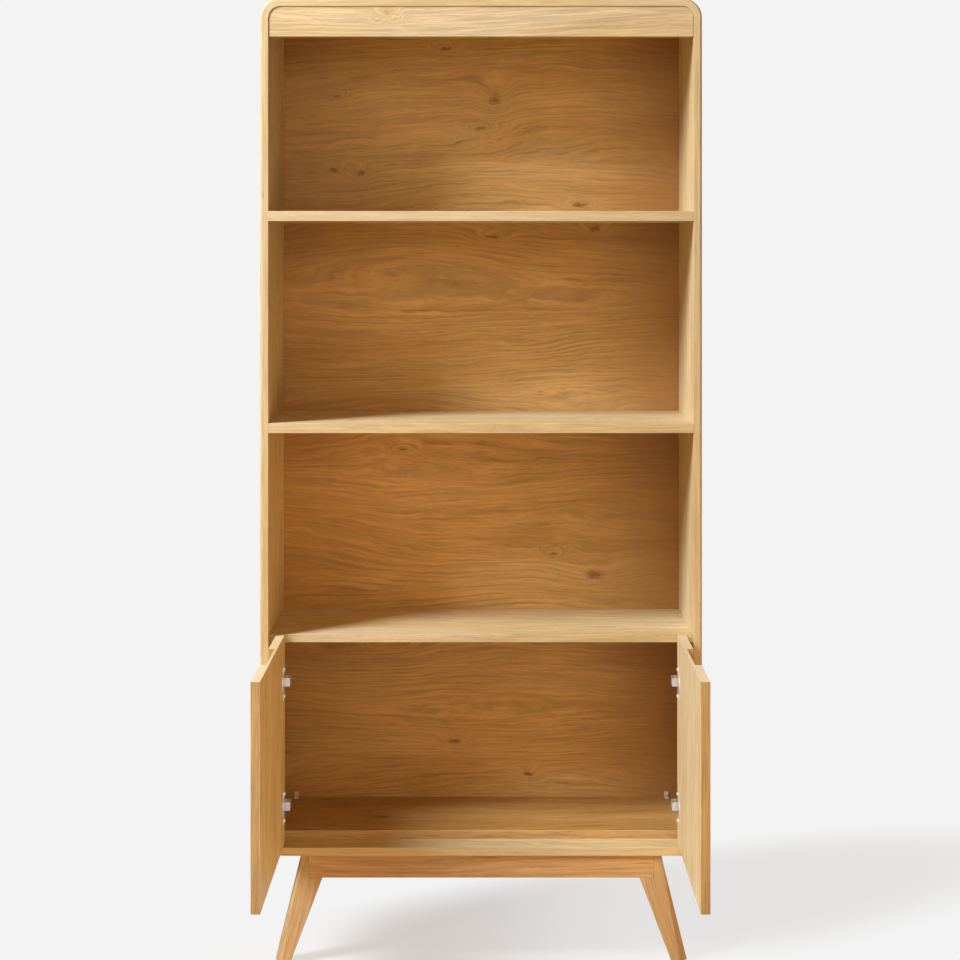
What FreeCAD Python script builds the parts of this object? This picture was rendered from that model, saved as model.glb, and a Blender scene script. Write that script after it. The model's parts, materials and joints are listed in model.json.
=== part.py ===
import FreeCAD, Part
import math
import os
import re
import Sketcher
from FreeCAD import Rotation, Vector

# Bookcase with a two-door cupboard on four splayed legs, in millimetres.
# +X is to the right, +Y runs from the front to the back and +Z is up.
# The origin is on the floor, midway across the width and midway between the back
# and the free edges of the doors as they stand open at a right angle.

# Driving sizes, one named value each
SIZES = {
    # Case
    "case_width": 800.0,
    "case_depth": 285.0,
    "case_height": 1750.0,
    "case_floor_height": 197.0,
    "side_thickness": 15.0,
    "top_thickness": 15.0,
    "bottom_thickness": 15.0,
    "corner_radius": 36.0,
    "outer_rounding": 4.0,
    # Shelves and compartments
    "shelf_thickness": 18.0,
    "cupboard_top_thickness": 15.0,
    "cupboard_top_recess": 27.0,
    "cupboard_clear_height": 366.0,
    "lower_clear_height": 369.0,
    "middle_clear_height": 366.0,
    "floor_board_thickness": 15.0,
    "floor_board_setback": 53.0,
    # Rail under the top
    "fascia_height": 55.0,
    "fascia_thickness": 16.0,
    "fascia_recess": 2.0,
    "fascia_gap": 1.0,
    "fascia_dowel_share": 0.65,
    # Backs, held in grooves
    "back_thickness": 5.0,
    "back_inset": 8.0,
    "groove_depth": 4.0,
    "groove_play": 0.3,
    # Doors
    "door_thickness": 16.0,
    "door_side_gap": 2.5,
    "door_centre_gap": 3.0,
    "door_bottom_gap": 3.0,
    "pull_length": 130.0,
    "pull_drop": 25.0,
    "pull_lip": 4.5,
    # Concealed hinges
    "upper_hinge_distance": 83.0,
    "lower_hinge_distance": 70.0,
    "pin_across": 18.2,
    "pin_inward": 6.5,
    "pin_radius": 1.2,
    "pin_play": 0.05,
    "pin_seat_play": 0.01,
    "cup_radius": 17.5,
    "cup_depth": 12.5,
    "cup_wall": 0.8,
    "cup_play": 0.1,
    "cup_edge_distance": 22.0,
    "flange_rim": 2.0,
    "flange_height": 61.0,
    "flange_width": 14.0,
    "flange_thickness": 1.2,
    "cup_screw_spacing": 48.0,
    "arm_thickness": 2.5,
    "arm_height": 15.0,
    "arm_eye_wall": 0.7,
    "arm_reach": 20.3,
    "arm_return_inward": 27.5,
    "arm_rise": 15.5,
    "arm_end_inward": 86.0,
    "plate_line_inward": 53.0,
    "plate_wing_height": 48.0,
    "plate_wing_width": 16.0,
    "plate_thickness": 2.0,
    "plate_rib_width": 10.0,
    "plate_rib_margin": 4.0,
    "plate_screw_spacing": 32.0,
    # Base
    "base_inset": 5.0,
    "apron_height": 41.0,
    "apron_thickness": 15.0,
    "apron_end_inset": 88.3,
    "leg_thickness": 28.0,
    "leg_top_inset": 73.6,
    "leg_top_width": 54.6,
    "leg_foot_inset": 25.6,
    "leg_foot_width": 29.0,
    "leg_facet_top": 1.0,
    "leg_facet_foot": 13.0,
    "rail_thickness": 18.0,
    "rail_dowel_share": 0.25,
    "glide_radius": 9.0,
    "glide_thickness": 3.0,
    # Fixings
    "dowel_radius": 4.0,
    "dowel_length": 24.0,
    "dowel_margin": 60.0,
    "cam_radius": 7.5,
    "cam_depth": 12.6,
    "cam_distance": 34.0,
    "cam_bolt_radius": 3.0,
    "cam_bolt_side_depth": 10.0,
    "cam_front_distance": 62.0,
    "screw_radius": 1.8,
    "screw_head_radius": 3.6,
    "screw_head_height": 2.2,
    "screw_length": 12.0,
    "base_screw_length": 49.0,
    "base_screw_distance": 45.0,
    "apron_screw_length": 23.0,
    "apron_screw_drop": 11.0,
    "apron_screw_inset": 10.0,
    "fixing_play": 0.05,
    # Clips that hold the cupboard's back
    "clip_width": 8.0,
    "clip_depth": 14.0,
    "clip_height": 10.0,
    "clip_thickness": 2.5,
    "clip_side_distance": 20.5,
    # How far a cut runs past the surface that it opens
    "overrun": 1.0,
}

# Places worked out from the driving sizes
LAYOUT = {
    "inner_half": "case_width / 2 - side_thickness",
    "door_width": "inner_half - door_side_gap - door_centre_gap / 2",
    "door_reach": "door_width + door_side_gap - pin_across - pin_inward",
    "front": "(door_reach - case_depth) / 2",
    "rear": "front + case_depth",
    "back_front": "rear - back_inset - back_thickness",
    "back_rear": "rear - back_inset",
    "bottom_top": "case_floor_height + bottom_thickness",
    "cupboard_top_under": "bottom_top + cupboard_clear_height",
    "cupboard_top_over": "cupboard_top_under + cupboard_top_thickness",
    "middle_shelf_under": "cupboard_top_over + lower_clear_height",
    "middle_shelf_over": "middle_shelf_under + shelf_thickness",
    "upper_shelf_under": "middle_shelf_over + middle_clear_height",
    "upper_shelf_over": "upper_shelf_under + shelf_thickness",
    "top_under": "case_height - top_thickness",
    "corner_start": "case_height - corner_radius",
    "corner_inner_radius": "corner_radius - side_thickness",
    "corner_reach": "case_width / 2 - corner_radius",
    "fascia_dowel_height": "top_under - fascia_height * fascia_dowel_share",
    "floor_board_top": "bottom_top + floor_board_thickness",
    "door_bottom": "bottom_top + door_bottom_gap",
    "door_height": "cupboard_top_over - door_bottom",
    "hinge_edge": "pin_across - door_side_gap",
    "free_edge": "door_width - hinge_edge",
    "inner_face": "door_thickness - pin_inward",
    "cup_offset": "cup_edge_distance - hinge_edge",
    "pin_half": "sqrt((cup_radius - cup_wall) ^ 2 - cup_offset ^ 2)",
    "lower_hinge": "door_bottom + lower_hinge_distance",
    "upper_hinge": "cupboard_top_over - upper_hinge_distance",
    "leg_top_outer": "case_width / 2 - leg_top_inset",
    "leg_top_inner": "leg_top_outer - leg_top_width",
    "leg_foot_outer": "case_width / 2 - leg_foot_inset",
    "leg_foot_inner": "leg_foot_outer - leg_foot_width",
    "apron_under": "case_floor_height - apron_height",
    "apron_half": "case_width / 2 - apron_end_inset",
    "apron_middle": "case_floor_height - apron_height / 2",
    "rail_centre": "leg_top_outer - leg_top_width / 2",
    "leg_front": "front + base_inset",
    "leg_rear": "rear - base_inset",
}

SIDES = {"left": -1, "right": 1}
ENDS = {"front": -1, "rear": 1}

UP = (0, 0, 1)
DOWN = (0, 0, -1)
INWARD = (0, 1, 0)
OUTWARD = (0, -1, 0)

# Sides of the small repeated fixings, of the cam discs and of the hinge cups and glides
FIXING_SIDES = 6
DISC_SIDES = 8
CUP_SIDES = 24

# How much further the corners of a fixing's bore reach than its flats
CORNER_SHARE = 1 / math.cos(math.pi / FIXING_SIDES)

QUARTER_TURN = 90

# How closely two coordinates agree when an edge is looked up
MATCH = 1e-6

document = FreeCAD.newDocument("bookcase")
sheet = document.addObject("Spreadsheet::Sheet", "sizes")
for row, (size_name, size_value) in enumerate(SIZES.items(), start=1):
    sheet.set(f"A{row}", size_name)
    sheet.set(f"B{row}", str(size_value))
    sheet.setAlias(f"B{row}", size_name)
document.recompute()
layout = document.addObject("App::VarSet", "layout")
subparts = []


def resolve(formula):
    """Point each plain name of a formula at the sheet or at the layout."""
    return re.sub(r"[a-z]\w*", lambda name: owner_of(name.group()), str(formula))


def owner_of(name):
    """The name with the list that holds it, or as it is where it is a function."""
    if name in SIZES:
        return f"sizes.{name}"
    return f"layout.{name}" if name in LAYOUT else name


for place_name, place_formula in LAYOUT.items():
    layout.addProperty("App::PropertyFloat", place_name)
    layout.setExpression(place_name, resolve(place_formula))
document.recompute()


def value_of(formula):
    return float(layout.evalExpression(resolve(formula)))


def bind(item, **formulas):
    for target, formula in formulas.items():
        item.setExpression(target, resolve(formula))


def stand_at(item, x, y, z, rotation=None):
    """Bind an object's place and give it a fixed turn."""
    if rotation is not None:
        item.Placement = FreeCAD.Placement(Vector(), rotation)
    for axis, formula in zip("xyz", (x, y, z)):
        item.setExpression(f"Placement.Base.{axis}", resolve(formula))
    return item


def keep(item):
    """List an object as a finished sub-part under its own label."""
    subparts.append(item)
    return item


def box(label, x, y, z):
    """A board between a low and a high formula along each axis."""
    board = document.addObject("Part::Box", label)
    spans = zip(("Length", "Width", "Height"), (x, y, z))
    bind(board, **{side: f"({high}) - ({low})" for side, (low, high) in spans})
    return stand_at(board, x[0], y[0], z[0])


def rod(label, start, direction, length, radius):
    """A round bar from a point along a direction."""
    bar = document.addObject("Part::Cylinder", label)
    bind(bar, Radius=radius, Height=length)
    return stand_at(bar, *start, Rotation(Vector(*UP), Vector(*direction)))


def peg(label, start, direction, length, radius, sides=FIXING_SIDES):
    """A many-sided bar from a point along a direction, for the round pieces that repeat."""
    bar = document.addObject("Part::Prism", label)
    bar.Polygon = sides
    bind(bar, Circumradius=radius, Height=length)
    return stand_at(bar, *start, Rotation(Vector(*UP), Vector(*direction)))


def bore(label, start, direction, length, radius, sides=FIXING_SIDES):
    """The hole that a peg stands in, with play round it and at its end."""
    return peg(label, start, direction, f"{length} + fixing_play", f"{radius} + fixing_play", sides)


def union(label, items):
    fused = document.addObject("Part::MultiFuse", label)
    fused.Shapes = items
    return fused


def group(label, items):
    bundle = document.addObject("Part::Compound", label)
    bundle.Links = items
    return bundle


def cut(label, base, tools):
    """Take the tools away from the base."""
    result = document.addObject("Part::Cut", label)
    result.Base = base
    result.Tool = tools[0] if len(tools) == 1 else group(f"{label}_cuts", tools)
    return result


def screw(label, start, direction, length):
    """A pan-head screw whose head stands on the surface at its start."""
    shank = peg(f"{label}_shank", start, direction, length, "screw_radius")
    away = tuple(-step for step in direction)
    head = peg(f"{label}_head", start, away, "screw_head_height", "screw_head_radius")
    return union(label, [shank, head])


def screw_hole(label, start, direction, length):
    return bore(label, start, direction, length, "screw_radius")


def span(sign, low, high):
    """A stretch across the width, mirrored to the left where the sign is negative."""
    return (low, high) if sign > 0 else (f"-({high})", f"-({low})")


def from_wall(sign, distance):
    """A place across the width, counted inwards from a side panel's inner face."""
    return f"{sign} * (inner_half - ({distance}))"


def sketch_on(body, role, label, offset="0"):
    """A sketch on one of the body's own origin planes, moved along that plane's normal."""
    sketch = body.newObject("Sketcher::SketchObject", label)
    plane = next(item for item in body.Origin.OriginFeatures if item.Role == role)
    sketch.AttachmentSupport = [(plane, "")]
    sketch.MapMode = "FlatFace"
    sketch.setExpression("AttachmentOffset.Base.z", resolve(offset))
    return sketch


def fix_point(sketch, geometry, vertex, name, place):
    """Tie a vertex or centre to a pair of formulas, counted from the sketch's origin."""
    for kind, formula in zip(("DistanceX", "DistanceY"), place):
        rule = Sketcher.Constraint(kind, -1, 1, geometry, vertex, value_of(formula))
        number = sketch.addConstraint(rule)
        sketch.renameConstraint(number, f"{name}_{kind}")
        sketch.setExpression(f"Constraints.{name}_{kind}", resolve(formula))


def draw_outline(sketch, corners):
    """A closed outline of straight lines through corners given as pairs of formulas."""
    points = [Vector(value_of(x), value_of(y), 0) for x, y in corners]
    count = len(points)
    for number in range(count):
        sketch.addGeometry(Part.LineSegment(points[number], points[(number + 1) % count]), False)
    for number in range(count):
        following = (number + 1) % count
        sketch.addConstraint(Sketcher.Constraint("Coincident", number, 2, following, 1))
        fix_point(sketch, number, 1, f"corner_{number}", corners[number])
    return sketch


def draw_circles(sketch, circles):
    """Circles given as pairs of formulas for the centre and one for the radius."""
    for number, (x, y, radius) in enumerate(circles):
        centre = Vector(value_of(x), value_of(y), 0)
        sketch.addGeometry(Part.Circle(centre, Vector(*UP), value_of(radius)), False)
        fix_point(sketch, number, 3, f"circle_{number}", (x, y))
        rule = sketch.addConstraint(Sketcher.Constraint("Radius", number, value_of(radius)))
        sketch.renameConstraint(rule, f"radius_{number}")
        sketch.setExpression(f"Constraints.radius_{number}", resolve(radius))
    return sketch


def pad(body, sketch, length, reversed_way=False):
    feature = body.newObject("PartDesign::Pad", f"{sketch.Name}_pad")
    feature.Profile = sketch
    feature.Reversed = reversed_way
    bind(feature, Length=length)
    document.recompute()
    return feature


def pocket(body, sketch, depth, reversed_way=False):
    """Cut a sketch into the body and make sure that it took something away."""
    before = body.Shape.Volume
    feature = body.newObject("PartDesign::Pocket", f"{sketch.Name}_pocket")
    feature.Profile = sketch
    feature.Reversed = reversed_way
    bind(feature, Length=depth)
    document.recompute()
    if body.Shape.Volume >= before:
        raise RuntimeError(f"{sketch.Name} cuts nothing")
    return feature


def new_body(label):
    return document.addObject("PartDesign::Body", label)


ACROSS = ("-inner_half", "inner_half")

# Shelves and floor: name, underside, upper face and how far the front edge stands back
HORIZONTAL_BOARDS = {
    "bottom_panel": ("case_floor_height", "bottom_top", "0"),
    "cupboard_top": ("cupboard_top_under", "cupboard_top_over", "cupboard_top_recess"),
    "middle_shelf": ("middle_shelf_under", "middle_shelf_over", "0"),
    "upper_shelf": ("upper_shelf_under", "upper_shelf_over", "0"),
}

# Backs: name, the face that they stand on and the face that closes them above
BACKS = {
    "cupboard_back": ("bottom_top", "cupboard_top_under"),
    "lower_back": ("cupboard_top_over", "middle_shelf_under"),
    "middle_back": ("middle_shelf_over", "upper_shelf_under"),
    "upper_back": ("upper_shelf_over", "top_under"),
}


def cam_places(name):
    """Sign, distance along the depth and height of each cam fitting of a board."""
    under, over, recess = HORIZONTAL_BOARDS[name]
    middle = f"({under} + {over}) / 2"
    depths = (f"front + {recess} + cam_front_distance", "back_front - cam_front_distance")
    return [(side, sign, depth, middle) for side, sign in SIDES.items() for depth in depths]


def make_cams():
    """Cam bolts screwed into the sides and cam discs let into the boards' undersides."""
    bolts, discs = [], []
    cuts = {name: [] for name in (*HORIZONTAL_BOARDS, "left", "right")}
    for name, (under, _, _) in HORIZONTAL_BOARDS.items():
        for number, (side, sign, depth, middle) in enumerate(cam_places(name)):
            mark = f"{name}_{number}"
            inwards = (-sign, 0, 0)
            start = (from_wall(sign, "-cam_bolt_side_depth"), depth, middle)
            length = "cam_bolt_side_depth + cam_distance - cam_radius"
            bolts.append(peg(f"bolt_{mark}", start, inwards, length, "cam_bolt_radius"))
            for target in (name, side):
                cuts[target].append(bore(f"bolt_bore_{target}_{mark}", start, inwards,
                                         "cam_bolt_side_depth + cam_distance", "cam_bolt_radius"))
            seat = (from_wall(sign, "cam_distance"), depth, under)
            discs.append(peg(f"disc_{mark}", seat, UP, "cam_depth", "cam_radius", DISC_SIDES))
            cuts[name].append(bore(f"disc_well_{mark}", seat, UP, "cam_depth", "cam_radius",
                                   DISC_SIDES))
    keep(group("cam_bolts", bolts))
    keep(group("cam_discs", discs))
    return cuts


def make_dowels():
    """Dowels at the corner blocks' seams and at the ends of the fascia."""
    dowels = {"corner_dowels": [], "fascia_dowels": []}
    cuts = {name: [] for name in ("left_corner", "right_corner", "left", "right", "top", "fascia")}
    half = "dowel_length / 2"
    depths = ("front + dowel_margin", "rear - dowel_margin")
    for side, sign in SIDES.items():
        wall_middle = f"{sign} * (case_width / 2 - side_thickness / 2)"
        seam = f"{sign} * corner_reach"
        for number, depth in enumerate(depths):
            upright = ((wall_middle, depth, f"corner_start - {half}"), UP)
            level = ((f"{seam} - {sign} * {half}", depth, "case_height - top_thickness / 2"),
                     (sign, 0, 0))
            for kind, (start, way), owner in (("side", upright, side), ("top", level, "top")):
                mark = f"{kind}_{side}_{number}"
                pin = peg(f"dowel_{mark}", start, way, "dowel_length", "dowel_radius")
                dowels["corner_dowels"].append(pin)
                for target in (owner, f"{side}_corner"):
                    cuts[target].append(bore(f"dowel_hole_{target}_{mark}", start, way,
                                             "dowel_length", "dowel_radius"))
        depth = "front + fascia_recess + fascia_thickness / 2"
        start = (from_wall(sign, f"-{half}"), depth, "fascia_dowel_height")
        inwards = (-sign, 0, 0)
        pin = peg(f"fascia_dowel_{side}", start, inwards, "dowel_length", "dowel_radius")
        dowels["fascia_dowels"].append(pin)
        for target in (side, "fascia"):
            cuts[target].append(bore(f"fascia_hole_{target}_{side}", start, inwards,
                                     "dowel_length", "dowel_radius"))
    for name, pins in dowels.items():
        keep(group(name, pins))
    return cuts


def back_groove(label, height_span, across):
    """The slot that a back's edge stands in, along the whole of a face."""
    return box(label, across, ("back_front - groove_play", "back_rear + groove_play"), height_span)


def make_backs():
    for name, (foot, head) in BACKS.items():
        lift = f"{foot} - groove_depth"
        top = f"{head} + groove_depth" if name != "upper_back" else head
        keep(box(name, ("-inner_half - groove_depth", "inner_half + groove_depth"),
                 ("back_front", "back_rear"), (lift, top)))


def make_horizontal_boards(cuts, base_cuts, clip_cuts):
    """Shelves and floor with grooves for the backs and bores for the cams."""
    grooved_over = {"bottom_panel", "cupboard_top", "middle_shelf", "upper_shelf"}
    grooved_under = {"cupboard_top", "middle_shelf", "upper_shelf"}
    long_way = ("-inner_half - overrun", "inner_half + overrun")
    for name, (under, over, recess) in HORIZONTAL_BOARDS.items():
        board = box(f"{name}_board", ACROSS, (f"front + {recess}", "rear"), (under, over))
        tools = list(cuts[name])
        if name in grooved_over:
            heights = (f"{over} - groove_depth - groove_play", f"{over} + overrun")
            tools.append(back_groove(f"{name}_groove_over", heights, long_way))
        if name in grooved_under:
            heights = (f"{under} - overrun", f"{under} + groove_depth + groove_play")
            tools.append(back_groove(f"{name}_groove_under", heights, long_way))
        if name == "bottom_panel":
            tools += base_cuts
        keep(cut(name, board, tools))
    floor = box("cupboard_floor_whole", ACROSS,
                ("front + floor_board_setback", "back_front"), ("bottom_top", "floor_board_top"))
    keep(cut("cupboard_floor_board", floor, clip_cuts))


def rounded_front(body, shape_step, name, places):
    """Round the long front edge whose ends lie at the given places."""
    ends = [Vector(*(value_of(part) for part in place)) for place in places]
    rounding = body.newObject("PartDesign::Fillet", f"{name}_rounding")
    edges = [f"Edge{number}" for number, edge in enumerate(shape_step.Shape.Edges, start=1)
             if joins(edge, ends)]
    rounding.Base = (shape_step, edges)
    bind(rounding, Radius="outer_rounding")
    document.recompute()
    return body


def joins(edge, ends):
    """Whether an edge runs between the two given points, either way round."""
    points = [vertex.Point for vertex in edge.Vertexes]
    if len(points) != len(ends):
        return False
    return any((points[0] - ends[first]).Length < MATCH and (points[1] - ends[1 - first]).Length < MATCH
               for first in (0, 1))


def rectangle(sketch, x, y):
    """A rectangle between a low and a high formula along each of the sketch's axes."""
    return draw_outline(sketch, [(x[0], y[0]), (x[1], y[0]), (x[1], y[1]), (x[0], y[1])])


def make_sides(cam_cuts, dowel_cuts, plate_cuts):
    for side, sign in SIDES.items():
        body = new_body(f"{side}_side_board")
        outer = f"{sign} * case_width / 2"
        sketch = sketch_on(body, "XY_Plane", f"{side}_side_section", "case_floor_height")
        rectangle(sketch, span(sign, "inner_half", "case_width / 2"), ("front", "rear"))
        upright = pad(body, sketch, "corner_start - case_floor_height")
        rounded_front(body, upright, f"{side}_side",
                      [(outer, "front", "case_floor_height"), (outer, "front", "corner_start")])
        groove = back_groove(f"{side}_side_groove", ("bottom_top - groove_depth", "corner_start + overrun"),
                             span(sign, "inner_half - overrun", "inner_half + groove_depth + groove_play"))
        tools = [groove, *cam_cuts[side], *dowel_cuts[side], *plate_cuts[side]]
        keep(cut(f"{side}_side_panel", body, tools))


def make_top(dowel_cuts):
    """Top panel and the two quarter-round corner blocks that carry it on the sides."""
    body = new_body("top_board")
    sketch = sketch_on(body, "YZ_Plane", "top_section", "-corner_reach")
    rectangle(sketch, ("front", "rear"), ("top_under", "case_height"))
    level = pad(body, sketch, "corner_reach * 2")
    rounded_front(body, level, "top",
                  [("-corner_reach", "front", "case_height"), ("corner_reach", "front", "case_height")])
    keep(cut("top_panel", body, dowel_cuts["top"]))
    for side, sign in SIDES.items():
        groove = box(f"{side}_corner_groove",
                     span(sign, "corner_reach - overrun", "inner_half + groove_depth + groove_play"),
                     ("back_front - groove_play", "back_rear + groove_play"),
                     ("corner_start - overrun", "top_under"))
        keep(cut(f"{side}_top_corner", corner_block(side, sign), [groove, *dowel_cuts[f"{side}_corner"]]))


def corner_block(side, sign):
    """A quarter turn of the side panel's section about the line where sides and top meet."""
    body = new_body(f"{side}_corner_block")
    sketch = sketch_on(body, "XY_Plane", f"{side}_corner_section", "corner_start")
    sketch.setExpression("AttachmentOffset.Base.x", resolve(f"{sign} * corner_reach"))
    rectangle(sketch, span(sign, "corner_inner_radius", "corner_radius"), ("front", "rear"))
    turned = body.newObject("PartDesign::Revolution", f"{side}_corner_turn")
    turned.Profile = sketch
    turned.ReferenceAxis = (sketch, ["V_Axis"])
    turned.Angle = QUARTER_TURN
    turned.Reversed = sign > 0
    document.recompute()
    return rounded_front(body, turned, f"{side}_corner",
                         [(f"{sign} * case_width / 2", "front", "corner_start"),
                          (f"{sign} * corner_reach", "front", "case_height")])


def make_fascia(dowel_cuts):
    """Front rail under the top, its upper corners rounded to follow the corner blocks."""
    body = new_body("fascia_rail")
    half = "inner_half - fascia_gap"
    low, high = "top_under - fascia_height", "top_under"
    sketch = sketch_on(body, "XZ_Plane", "fascia_outline", "-front - fascia_recess")
    rectangle(sketch, (f"-({half})", half), (low, high))
    rail = pad(body, sketch, "fascia_thickness", reversed_way=True)
    rounding = body.newObject("PartDesign::Fillet", "fascia_rounding")
    edges = [f"Edge{number}" for number, edge in enumerate(rail.Shape.Edges, start=1)
             if is_upper_end(edge, value_of(high))]
    rounding.Base = (rail, edges)
    bind(rounding, Radius="corner_inner_radius - fascia_gap")
    document.recompute()
    keep(cut("top_fascia", body, dowel_cuts["fascia"]))


def is_upper_end(edge, height):
    """Whether an edge runs front to back at the given height."""
    start, end = (vertex.Point for vertex in edge.Vertexes)
    along_depth = abs(start.x - end.x) < MATCH and abs(start.z - end.z) < MATCH
    return along_depth and abs(start.z - height) < MATCH


def make_legs():
    """Splayed tapered legs, each notched for the apron and faceted at its outer edge."""
    screws = []
    for end, end_sign in ENDS.items():
        face = "leg_front" if end_sign < 0 else "leg_rear"
        way = -end_sign
        for side, sign in SIDES.items():
            name = f"{end}_{side}_leg"
            body = new_body(f"{name}_blank")
            outline = [("leg_foot_inner", "glide_thickness"), ("leg_foot_outer", "glide_thickness"),
                       ("leg_top_outer", "case_floor_height"), ("leg_top_inner", "case_floor_height")]
            corners = [(f"{sign} * ({x})", z) for x, z in outline]
            sketch = sketch_on(body, "XZ_Plane", f"{name}_outline", f"-({face})")
            draw_outline(sketch, corners)
            pad(body, sketch, "leg_thickness", reversed_way=end_sign < 0)
            facet = leg_facet(name, sign, face, way)
            notch = box(f"{name}_notch", span(sign, "leg_top_inner - overrun", "apron_half"),
                        depth_span(face, way, "-overrun", "apron_thickness"),
                        ("apron_under", "case_floor_height + overrun"))
            drop = "case_floor_height - apron_screw_drop"
            entry = (f"{sign} * (leg_top_inner + apron_screw_inset)",
                     f"{face} + {way} * leg_thickness", drop)
            direction = (0, -way, 0)
            hole = screw_hole(f"{name}_screw_hole", entry, direction, "apron_screw_length")
            screws.append((end, screw(f"{name}_screw", entry, direction, "apron_screw_length"), hole))
            rail_holes = [bore(f"{name}_dowel_hole_{number}", start, (0, way, 0), length, "dowel_radius")
                          for number, (start, length) in enumerate(rail_dowel_places(sign, face, way))]
            keep(cut(name, body, [facet, notch, hole, *rail_holes]))
    keep(group("apron_screws", [item for _, item, _ in screws]))
    return screws


def depth_span(face, way, near, far):
    """A stretch along the depth, counted inwards from a leg's outer face."""
    if way > 0:
        return (f"{face} + {near}", f"{face} + {far}")
    return (f"{face} - ({far})", f"{face} - ({near})")


def leg_facet(name, sign, face, way):
    """The wedge cut off a leg's outer edge, which widens evenly from top to foot."""
    levels = (("foot", "glide_thickness", "leg_foot_outer", "leg_facet_foot"),
              ("top", "case_floor_height", "leg_top_outer", "leg_facet_top"))
    body = new_body(f"{name}_facet")
    sketches = []
    for level, height, outer, facet in levels:
        sketch = sketch_on(body, "XY_Plane", f"{name}_facet_{level}", height)
        corner = f"{sign} * ({outer} + overrun)"
        along = f"{sign} * ({outer} - {facet})"
        draw_outline(sketch, [(corner, f"{face} - {way} * overrun"),
                              (along, f"{face} - {way} * overrun"),
                              (along, face),
                              (f"{sign} * {outer}", f"{face} + {way} * {facet}"),
                              (corner, f"{face} + {way} * {facet}")])
        sketches.append(sketch)
    loft = body.newObject("PartDesign::AdditiveLoft", f"{name}_facet_loft")
    loft.Profile = sketches[0]
    loft.Sections = sketches[1:]
    loft.Ruled = True
    document.recompute()
    return body


def rail_dowel_places(sign, face, way):
    """Start and length of the two dowels between a leg and its side rail."""
    start_depth = f"{face} + {way} * (leg_thickness - dowel_length / 2)"
    heights = (f"apron_middle {step} apron_height * rail_dowel_share" for step in "-+")
    return [((f"{sign} * rail_centre", start_depth, height), "dowel_length") for height in heights]


def make_aprons(screws):
    for end, end_sign in ENDS.items():
        face = "leg_front" if end_sign < 0 else "leg_rear"
        board = box(f"{end}_apron_board", ("-apron_half", "apron_half"),
                    depth_span(face, -end_sign, "0", "apron_thickness"),
                    ("apron_under", "case_floor_height"))
        keep(cut(f"{end}_apron", board, [hole for place, _, hole in screws if place == end]))


def make_rails():
    """Side rails between the front and rear legs, screwed up into the bottom panel."""
    dowels, screws, panel_cuts = [], [], []
    for side, sign in SIDES.items():
        half = "rail_thickness / 2"
        board = box(f"{side}_rail_board", span(sign, f"rail_centre - {half}", f"rail_centre + {half}"),
                    ("leg_front + leg_thickness", "leg_rear - leg_thickness"),
                    ("apron_under", "case_floor_height"))
        tools = []
        for end, face, way in (("front", "leg_front", 1), ("rear", "leg_rear", -1)):
            for number, (start, length) in enumerate(rail_dowel_places(sign, face, way)):
                mark = f"{side}_{end}_{number}"
                dowels.append(peg(f"rail_dowel_{mark}", start, (0, way, 0), length, "dowel_radius"))
                tools.append(bore(f"rail_dowel_hole_{mark}", start, (0, way, 0), length,
                                  "dowel_radius"))
            place = (f"{sign} * rail_centre",
                     f"{face} + {way} * (leg_thickness + base_screw_distance)", "apron_under")
            mark = f"base_screw_{side}_{end}"
            screws.append(screw(mark, place, UP, "base_screw_length"))
            for target, store in (("rail", tools), ("panel", panel_cuts)):
                store.append(screw_hole(f"{mark}_{target}_hole", place, UP, "base_screw_length"))
        keep(cut(f"{side}_base_rail", board, tools))
    keep(group("rail_dowels", dowels))
    keep(group("base_screws", screws))
    return panel_cuts


def make_glides():
    glides = []
    for face, way in (("leg_front", 1), ("leg_rear", -1)):
        for sign in SIDES.values():
            centre = (f"{sign} * (leg_foot_inner + glide_radius)",
                      f"{face} + {way} * (leg_thickness - glide_radius)", "0")
            glides.append(peg(f"glide_{len(glides)}", centre, UP, "glide_thickness", "glide_radius",
                              CUP_SIDES))
    keep(group("foot_glides", glides))


def open_door_turn(sign):
    """The turn of a door that stands open at a right angle."""
    return Rotation(Vector(*UP), sign * QUARTER_TURN)


def at_pin(item, sign, height):
    """Set an object that was drawn about the pin of a closed door on the open door."""
    return stand_at(item, from_wall(sign, "pin_across"), "front + pin_inward", height,
                    open_door_turn(sign))


def make_doors():
    """Inset doors with a finger pull in the top edge and bores for the hinge cups."""
    for side, sign in SIDES.items():
        toward_centre = -sign
        body = new_body(f"{side}_door_leaf")
        edges = [f"{toward_centre} * (-hinge_edge)", f"{toward_centre} * free_edge"]
        panel = sketch_on(body, "XY_Plane", f"{side}_door_panel", "door_bottom")
        rectangle(panel, edges, ("-pin_inward", "inner_face"))
        pad(body, panel, "door_height")
        middle = "(free_edge - hinge_edge) / 2"
        ends = [f"{toward_centre} * ({middle} {step} pull_length / 2)" for step in "-+"]
        pull = sketch_on(body, "XY_Plane", f"{side}_door_pull", "cupboard_top_over")
        rectangle(pull, ends, ("-pin_inward - overrun", "inner_face - pull_lip"))
        pocket(body, pull, "pull_drop")
        bores, pilots = [], []
        across = f"{toward_centre} * cup_offset"
        for height in ("lower_hinge", "upper_hinge"):
            bores.append((across, height, "cup_radius + cup_play"))
            for step in "-+":
                place = (across, "inner_face", f"{height} {step} cup_screw_spacing / 2")
                pilots.append(screw_hole(f"{side}_door_pilot_{len(pilots)}", place, OUTWARD,
                                         "screw_length - flange_thickness"))
        sketch = sketch_on(body, "XZ_Plane", f"{side}_door_bores", "-inner_face")
        draw_circles(sketch, bores)
        pocket(body, sketch, "cup_depth + cup_play", reversed_way=True)
        keep(at_pin(cut(f"{side}_door", body, pilots), sign, "0"))


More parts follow.
